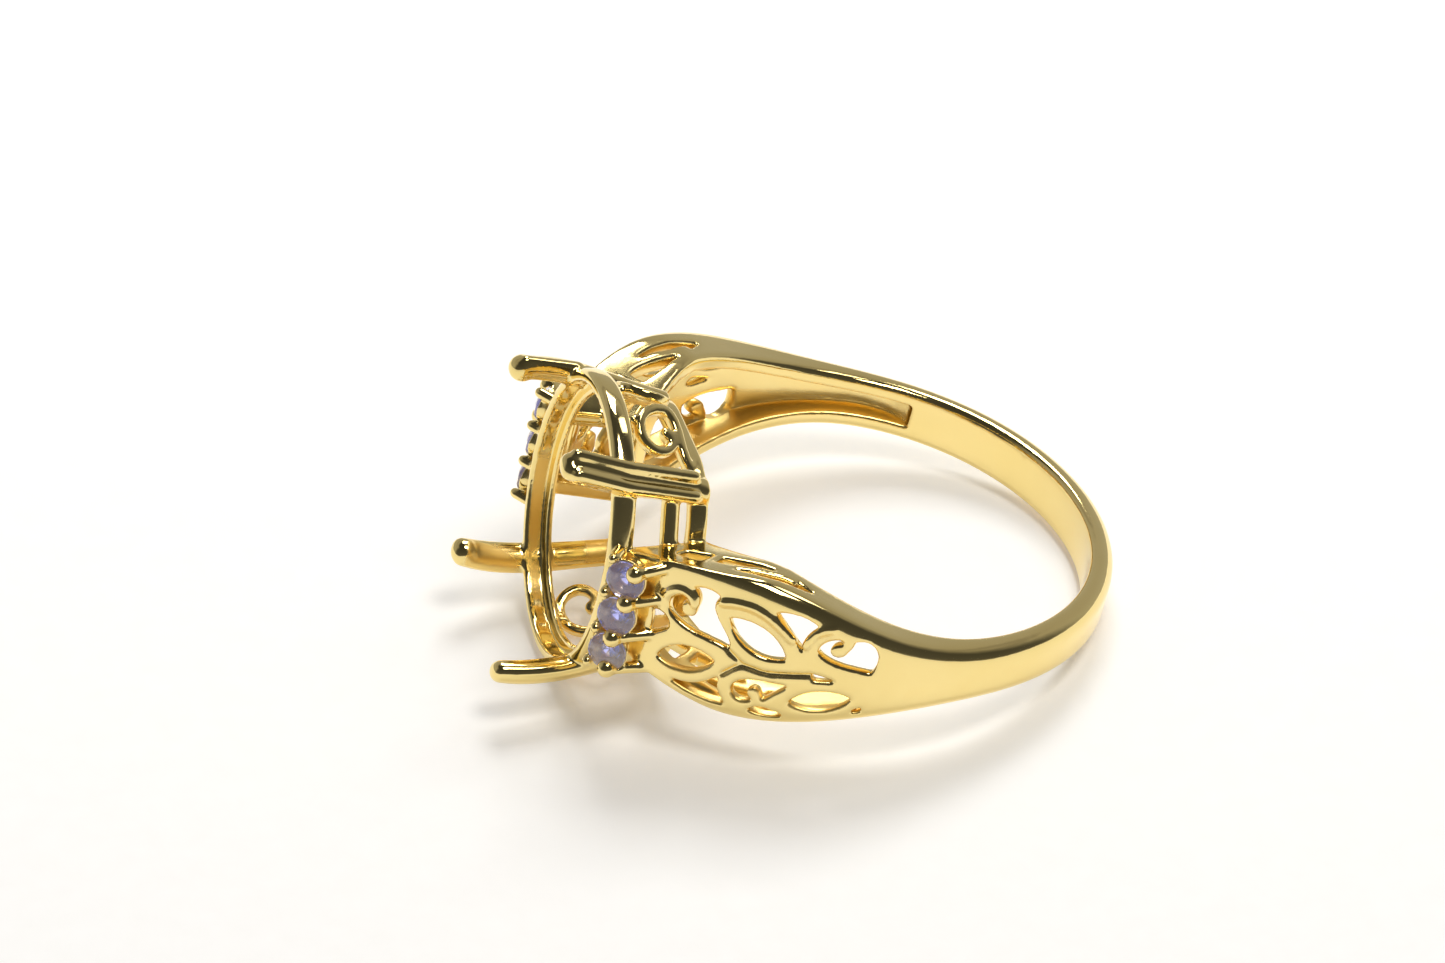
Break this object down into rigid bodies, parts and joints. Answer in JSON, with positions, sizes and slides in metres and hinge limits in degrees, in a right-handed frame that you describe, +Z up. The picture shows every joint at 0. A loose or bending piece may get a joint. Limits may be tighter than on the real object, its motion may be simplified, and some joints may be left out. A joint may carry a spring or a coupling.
{
  "type": "tanzanite ring",
  "caption": "Gold ring mount with an empty oval claw setting, pierced leaf shoulders and a row of small round tanzanites on each side.",
  "frame": {"origin": "centre of the footprint on the floor, with the ring lying at rest on the back of its band and the lower end of its head", "axes": "+Z up; -X towards the head with the setting; the finger hole runs nearly upright, leaning 13.4 degrees from +Z towards +X"},
  "size_m": [0.0246, 0.02, 0.0116],
  "materials": {
    "gold": "polished gold plate",
    "tanzanite": "polished facets"
  },
  "bodies": {
    "root": {"ring_mount": "gold", "tanzanite_1": "tanzanite", "tanzanite_2": "tanzanite", "tanzanite_3": "tanzanite", "tanzanite_4": "tanzanite", "tanzanite_5": "tanzanite", "tanzanite_6": "tanzanite"}
  },
  "joints": []
}
